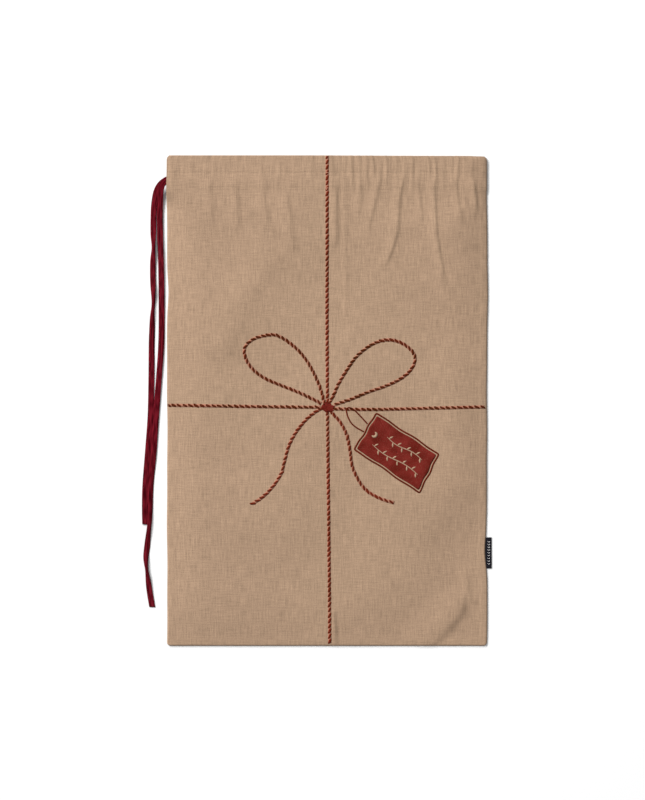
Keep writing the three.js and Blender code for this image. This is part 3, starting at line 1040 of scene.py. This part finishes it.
# ---- printed gift tag
TAG_CORNERS = np.array([(76.9, -19.3), (174.2, -83.5), (144.1, -143.7), (42.5, -75.7)])
CORNER_GAP = 1.8  # each side stops this far from the corner, which the curve then rounds


def unit(vector):
    return vector / np.linalg.norm(vector)


def tag_outline(inset):
    """The tag's outline, inset by so many millimetres, as four wavy sides with soft corners."""
    centre = TAG_CORNERS.mean(axis=0)
    before = np.roll(TAG_CORNERS, 1, axis=0)
    after = np.roll(TAG_CORNERS, -1, axis=0)
    corners = []
    for here, last, following in zip(TAG_CORNERS, before, after):
        corners.append(here + (unit(last - here) + unit(following - here)) * inset)
    line = []
    for k in range(4):
        a = corners[k]
        b = corners[(k + 1) % 4]
        length = np.linalg.norm(b - a)
        side = unit(b - a)
        out = np.array([-side[1], side[0]])
        if out @ (centre - a) > 0:
            out = -out
        for t in np.linspace(CORNER_GAP / length, 1 - CORNER_GAP / length, 12):
            wavy = math.sin(2 * math.pi * (t * 2 + k * 0.3)) * math.sin(math.pi * t)
            line.append(a + side * length * t + out * wavy)
    line.append(line[0])
    return catmull_rom(line, 1.6)


def tag_place(along, down):
    """A place on the tag: along it from 0 to 1, and down it from 0 to 1."""
    upper = TAG_CORNERS[0] * (1 - along) + TAG_CORNERS[1] * along
    lower = TAG_CORNERS[3] * (1 - along) + TAG_CORNERS[2] * along
    return upper * (1 - down) + lower * down


def printed_tag():
    """The tag's outline and its red field, with bare cloth between them."""
    outline = Print("printed_tag_outline", line_ink)
    add_stroke(outline, tag_outline(0.0), 2.6)
    outline.make()

    fill = Print("printed_tag_fill", tag_ink)
    edge = tag_outline(2.9)
    centre = edge.mean(axis=0)
    share = np.linspace(0.004, 1, 22)[:, None, None]
    fill.add_grid((centre + (edge - centre)[None] * share)[::-1])
    fill.make()


printed_tag()

EYELET = tag_place(0.13, 0.44)
TAG_ALONG = unit(TAG_CORNERS[1] - TAG_CORNERS[0])
TAG_DOWN = unit(TAG_CORNERS[3] - TAG_CORNERS[0])


def sprig_place(begin, finish, down, share):
    """A place on a gently waving stem that runs along the tag."""
    return tag_place(begin + (finish - begin) * share, down + 0.035 * math.sin(2 * math.pi * share))


def add_leaf(sheet, root, tip, width):
    """A pointed leaf, widest in the middle."""
    share = np.linspace(0, 1, 9)[:, None]
    line = root * (1 - share) + tip * share
    side = np.array([root[1] - tip[1], tip[0] - root[0]]) / np.linalg.norm(tip - root)
    half = width / 2 * np.sin(math.pi * np.clip(share, 0.03, 0.97))
    sheet.add_strip(line - side * half, line + side * half)


def tag_marks():
    """What shows bare on the tag's red: the eyelet's crescent and two leafy sprigs."""
    marks = Print("printed_tag_marks", linen, MARKS_PROUD)
    angle = np.linspace(math.radians(-160), math.radians(75), 30)
    crescent = EYELET + (-1.2, 0.3) + 3.6 * np.column_stack([np.cos(angle), np.sin(angle)])
    add_stroke(marks, crescent, 4.0, 0.9)

    for down, begin, finish, leaves in ((0.33, 0.29, 0.84, 8), (0.67, 0.17, 0.88, 10)):
        stem = [sprig_place(begin, finish, down, share) for share in np.linspace(0, 1, 24)]
        add_stroke(marks, catmull_rom(stem, 1.2), 1.5, 0.6)
        for leaf in range(leaves):
            share = (leaf + 0.4) / leaves
            root = sprig_place(begin, finish, down, share)
            side = 1 if leaf % 2 else -1
            tip = root + 4.0 * TAG_ALONG + side * 6.8 * TAG_DOWN
            add_leaf(marks, root, tip, 2.6)
    marks.make()


tag_marks()


def printed_tag_string():
    sheet = Print("printed_tag_string", line_ink)
    route = [(63, -36.2), (52, -24), (43, -15), (37, -11.2), (32, -11.5), (30.4, -16)]
    route += [(32.5, -25), (38, -35), (46, -42), (57.4, -48.4)]
    add_stroke(sheet, catmull_rom(route, 1.2), 2.2)
    sheet.make()


printed_tag_string()


# ---- stitches and threads
CAPSULE_SIDES = 8
CAPSULE_PROFILE = [
    (-1, 0.02), (-0.93, 0.55), (-0.75, 0.9), (0, 1.0), (0.75, 0.9), (0.93, 0.55), (1, 0.02),
]


def capsule_row(name, centres, directions, length, radius):
    """Short rounded stitches, each a capsule along its own direction."""
    angle = 2 * math.pi * np.arange(CAPSULE_SIDES) / CAPSULE_SIDES
    points = []
    faces = []
    for centre, direction in zip(centres, directions):
        direction = unit(direction)
        side = unit(np.cross([0, 0, 1.0], direction))
        upward = np.cross(direction, side)
        circle = np.outer(np.cos(angle), side) + np.outer(np.sin(angle), upward)
        faces += tube_faces(len(CAPSULE_PROFILE), CAPSULE_SIDES, len(points) * CAPSULE_SIDES)
        for share, size in CAPSULE_PROFILE:
            points.append(centre + direction * share * length / 2 + circle * radius * size)
    return new_mesh(name, np.vstack(points), faces)


def sew(name, node, centres, directions, length, radius):
    """A row of stitches of sewing thread."""
    piece = capsule_row(name, centres, directions, length, radius)
    finish_cloth(piece, sewing_thread, "thread", node)


STITCH_PITCH = 3.5
STITCH_LENGTH = 2.9


def stitch_rows():
    """The rows above and below the ribbon that close the channel of each casing."""
    x = np.arange(-HALF_WIDTH + 5, HALF_WIDTH - 6, STITCH_PITCH)
    rows = (("heading", np.full(len(x), HEADING_Y)), ("channel", np.full(len(x), CHANNEL_Y)))
    for row, y in rows:
        centres = front_place(x, y, 0.10)
        ahead = front_place(x + 1, y, 0.10) - centres
        node = f"front_{row}_stitch"
        sew(node + "_thread", node, centres, ahead, STITCH_LENGTH, radius=0.2)
    for row, y in rows:
        centres = np.column_stack([outline_x(x, y), y, np.full(len(x), 0.24)])
        ahead = np.tile([1.0, 0, 0], (len(x), 1))
        node = f"back_{row}_stitch"
        sew(node + "_thread", node, centres, ahead, STITCH_LENGTH, radius=0.18)


stitch_rows()

ALLOWANCE_THICKNESS = 0.7


def seam_strip(side, axis, inward):
    """A turned-in seam allowance: two layers of cloth, with a slightly wavy free edge."""
    name = f"{side}_seam_allowance"
    low, high = box_mm(name)
    span = np.linspace(low[axis], high[axis], int((high[axis] - low[axis]) / 7))
    a, t = np.meshgrid(span, np.linspace(0, 1, 4), indexing="ij")
    sewn_edge = low[1 - axis] if inward > 0 else high[1 - axis]
    reach = high[1 - axis] - low[1 - axis]
    b = sewn_edge + inward * (t * reach + 0.25 * np.sin(a / 11) * t)
    x, y = (a, b) if axis == 0 else (b, a)
    z = high[2] - 0.1 + 0.08 * np.sin(a / 6.5) * t
    outer = np.stack([x, y, z], axis=2)
    piece = thick_sheet(name + "_cloth", outer, outer[..., :2], ALLOWANCE_THICKNESS)
    if np.cross(outer[0, 1] - outer[0, 0], outer[1, 0] - outer[0, 0])[2] < 0:
        piece.data.flip_normals()
    finish_cloth(piece, linen, "linen", name)


OVERLOCK_PITCH = 2.6


def row_in_node(node, axis, start, pitch):
    """Evenly spaced places along the middle of a CAD node, and its lowest and highest z."""
    low, high = box_mm(node)
    places = np.arange(low[axis] + start, high[axis], pitch)
    centres = np.tile((low + high) / 2, (len(places), 1))
    centres[:, axis] = places
    return centres, low[2], high[2]


def seam_threads(side, axis, inward):
    """Overlock loops round the allowance's edge, and the row of seam stitches beside them."""
    node = f"{side}_seam_overlock"
    centres, _, top = row_in_node(node, axis, 0, OVERLOCK_PITCH)
    centres[:, 1 - axis] -= inward * 1.1
    centres[:, 2] = top - 0.1
    slant = np.zeros(centres.shape)
    slant[:, axis] = 0.9
    slant[:, 1 - axis] = 2.0
    sew(f"{side}_overlock_loops", node, centres, slant, length=3.0, radius=0.17)

    node = f"{side}_seam_thread"
    centres, bottom, _ = row_in_node(node, axis, 1.5, STITCH_PITCH)
    centres[:, 2] = bottom
    ahead = np.zeros(centres.shape)
    ahead[:, axis] = 1
    sew(f"{side}_seam_stitches", node, centres, ahead, STITCH_LENGTH, radius=0.18)


# Each seam runs along axis 0 or 1, and its allowance is turned inward along the other one.
for side, axis, inward in (("left", 1, 1), ("right", 1, -1), ("bottom", 0, 1)):
    seam_strip(side, axis, inward)
    seam_threads(side, axis, inward)


def bar_tack():
    """Close zigzag stitches that lock the seam's end at the vent."""
    low, high = box_mm("vent_bar_tack")
    y = np.arange(low[1], high[1], 0.62)
    ones = np.ones(len(y))
    centres = np.column_stack([ones * ((low[0] + high[0]) / 2 + 0.25), y, ones * 1.3])
    zigzag = np.column_stack([0.35 * ones, 0.3 * (-1.0) ** np.arange(len(y)), ones])
    sew("vent_bar_tack_thread", "vent_bar_tack", centres, zigzag, length=2.2, radius=0.24)


bar_tack()


# ---- side label
LABEL_CLOTH = 0.32


def side_label():
    """A folded woven tab: two leaves that meet at a round fold, slightly bowed."""
    low, high = box_mm("side_label")
    middle = (low[2] + high[2]) / 2
    fold = (high[2] - low[2]) / 2
    start = low[0] - 4.4  # inside the seam
    end = high[0] + 0.5 - fold
    leaf_x = np.linspace(start, end, 8)
    leaf_z = np.full(8, fold)
    angle = np.linspace(math.pi / 2, -math.pi / 2, 9)[1:-1]
    x = np.concatenate([leaf_x, end + fold * np.cos(angle), leaf_x[::-1]])
    z = middle + np.concatenate([leaf_z, fold * np.sin(angle), -leaf_z])
    y, x = np.meshgrid(np.linspace(low[1], high[1], 40), x, indexing="ij")
    bow = 0.14 * np.sin((y - low[1]) / (high[1] - low[1]) * math.pi * 2)
    bowed_z = z + 0.25 * bow * smooth((x - start) / 6)
    outer = np.stack([x + 0.1 * bow, y, bowed_z], axis=2)
    piece = thick_sheet("side_label_cloth", outer, outer[..., :2], LABEL_CLOTH)
    piece.data.materials.append(label_cloth)
    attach(piece, "label")
    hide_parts("side_label")

    centres = []
    directions = []
    for at in np.linspace(low[1] + 7, high[1] - 7, 9):
        for slant in (1, -1):
            centres.append((low[0] + 2.3 + slant * 0.9, at, high[2] + 0.02))
            directions.append((1.0, 0.8 * slant, 0))
    centres = np.array(centres)
    directions = np.array(directions)
    marks = capsule_row("side_label_motif", centres, directions, length=2.5, radius=0.27)
    marks.data.materials.append(label_thread)
    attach(marks, "label")


side_label()


# ---- studio
FLOOR_GREY = 0.72
SKY_STRENGTH = 0.47


def add_light(name, kind, energy, location, turned):
    """A lamp at a place in metres, turned by so many degrees about x, y and z."""
    data = bpy.data.lights.new(name, kind)
    data.energy = energy
    light = bpy.data.objects.new(name, data)
    light.location = location
    light.rotation_euler = [math.radians(angle) for angle in turned]
    bpy.context.scene.collection.objects.link(light)
    return data


def studio():
    """A matt floor under an even white sky, a low sun from one side and a large soft lamp."""
    bpy.ops.mesh.primitive_plane_add(size=60, location=(0, 0, 0))
    floor = bpy.context.object
    floor.name = "studio_floor"
    matt = Surface("studio_floor")
    matt.set_look((FLOOR_GREY, FLOOR_GREY, FLOOR_GREY), roughness=0.9, specular=0.1)
    floor.data.materials.append(matt.material)

    world = bpy.data.worlds.new("studio")
    world.use_nodes = True
    sky = world.node_tree.nodes["Background"]
    sky.inputs[0].default_value = (1, 1, 1, 1)
    sky.inputs[1].default_value = SKY_STRENGTH
    bpy.context.scene.world = world

    sun = add_light("window", "SUN", energy=3.75, location=(0, 0, 0), turned=(57, 0, -122))
    sun.angle = math.radians(17)
    lamp_place = (-2.2, 3.9, 2.6)
    lamp = add_light("soft_panel", "AREA", 205, lamp_place, turned=(60, 0, -150.5))
    lamp.shape = "DISK"
    lamp.size = 1.5


studio()
bpy.context.scene.view_settings.view_transform = "Standard"
